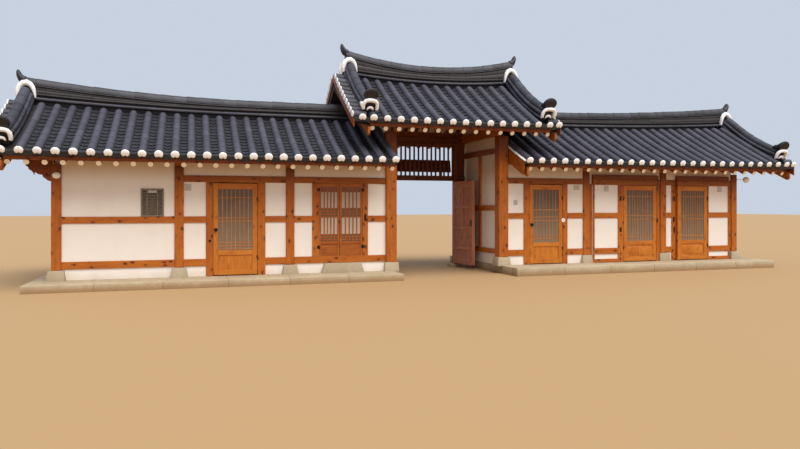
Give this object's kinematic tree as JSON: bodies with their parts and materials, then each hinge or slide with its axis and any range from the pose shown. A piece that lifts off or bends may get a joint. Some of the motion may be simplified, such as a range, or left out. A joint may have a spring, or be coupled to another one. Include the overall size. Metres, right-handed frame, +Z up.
{
  "type": "hanok house",
  "caption": "Korean gatehouse row: a tall roofed gate with pivoting plank leaves between lower plastered timber wings under curved tiled gable roofs.",
  "frame": {"origin": "centre of the bounding box's foot, at ground level", "axes": "+X along the row toward the higher right wing, +Y away from the courtyard, +Z up"},
  "size_m": [19.77, 4.44, 5.8587],
  "materials": {
    "pine": "oiled pine, satin, knotty",
    "door_pine": "varnished pine joinery, satin",
    "dark_pine": "dark oiled pine, worn",
    "plaster": "matt lime plaster",
    "granite": "bush-hammered granite",
    "tile": "fired clay tile, matt, weathered",
    "bronze": "bronze-grey coated aluminium",
    "opal": "opal lamp cover"
  },
  "bodies": {
    "house": {"left_plinth": "granite", "right_plinth": "granite", "gate_stone_left": "granite", "gate_stone_right": "granite", "left_bay_1_frame": "pine", "left_bay_2_frame": "pine", "left_bay_3_frame": "pine", "right_bay_1_frame": "pine", "right_bay_2_frame": "pine", "right_bay_3_frame": "pine", "left_wall_1": "plaster", "left_wall_2": "plaster", "left_wall_3": "plaster", "right_wall_1": "plaster", "right_wall_2": "plaster", "right_wall_3": "plaster", "wall_vent": "bronze", "left_lamp": "opal", "right_lamp": "opal", "window_casement_left": "door_pine", "window_casement_right": "door_pine", "gate_side_frame_left": "pine", "gate_side_frame_right": "pine", "gate_side_wall_left": "plaster", "gate_side_wall_right": "plaster", "left_roof_frame": "pine", "right_roof_frame": "pine", "gate_roof_frame": "pine", "left_rafters_front": "pine", "left_rafters_rear": "pine", "right_rafters_front": "pine", "right_rafters_rear": "pine", "gate_rafters_front": "pine", "gate_rafters_rear": "pine", "left_roof": "tile", "right_roof": "tile", "gate_roof": "tile", "left_ridge": "tile", "right_ridge": "tile", "gate_ridge": "tile", "left_gable_wall": "plaster", "right_gable_wall": "plaster", "left_gable_frame": "pine", "right_gable_frame": "pine", "left_rear_frame": "pine", "right_rear_frame": "pine", "left_rear_wall": "plaster", "right_rear_wall": "plaster", "gate_door_frame": "dark_pine", "gate_board": "dark_pine"},
    "gate_leaf_left": {"gate_leaf_left": "dark_pine"},
    "gate_leaf_right": {"gate_leaf_right": "dark_pine"},
    "left_room_door": {"left_room_door": "door_pine"},
    "right_room_door_1": {"right_room_door_1": "door_pine"},
    "right_room_door_2": {"right_room_door_2": "door_pine"},
    "right_room_door_3": {"right_room_door_3": "door_pine"}
  },
  "joints": [
    {"name": "gate_leaf_left_hinge", "type": "hinge", "parent": "house", "child": "gate_leaf_left", "pos_m": [-1.145, 0.81, 1.24], "axis": [0, 0, -1], "range_deg": [-97, 5]},
    {"name": "gate_leaf_right_hinge", "type": "hinge", "parent": "house", "child": "gate_leaf_right", "pos_m": [0.945, 0.81, 1.24], "axis": [0, 0, 1], "range_deg": [-97, 5]},
    {"name": "left_room_door_hinge", "type": "hinge", "parent": "house", "child": "left_room_door", "pos_m": [-4.707, -1.342, 1.15], "axis": [0, 0, 1], "range_deg": [0, 100]},
    {"name": "right_room_door_1_hinge", "type": "hinge", "parent": "house", "child": "right_room_door_1", "pos_m": [3.089, -1.342, 1.2], "axis": [0, 0, 1], "range_deg": [0, 100]},
    {"name": "right_room_door_2_hinge", "type": "hinge", "parent": "house", "child": "right_room_door_2", "pos_m": [4.914, -1.404, 1.2], "axis": [0, 0, -1], "range_deg": [0, 100]},
    {"name": "right_room_door_3_hinge", "type": "hinge", "parent": "house", "child": "right_room_door_3", "pos_m": [7.676, -1.404, 1.2], "axis": [0, 0, 1], "range_deg": [0, 100]}
  ]
}
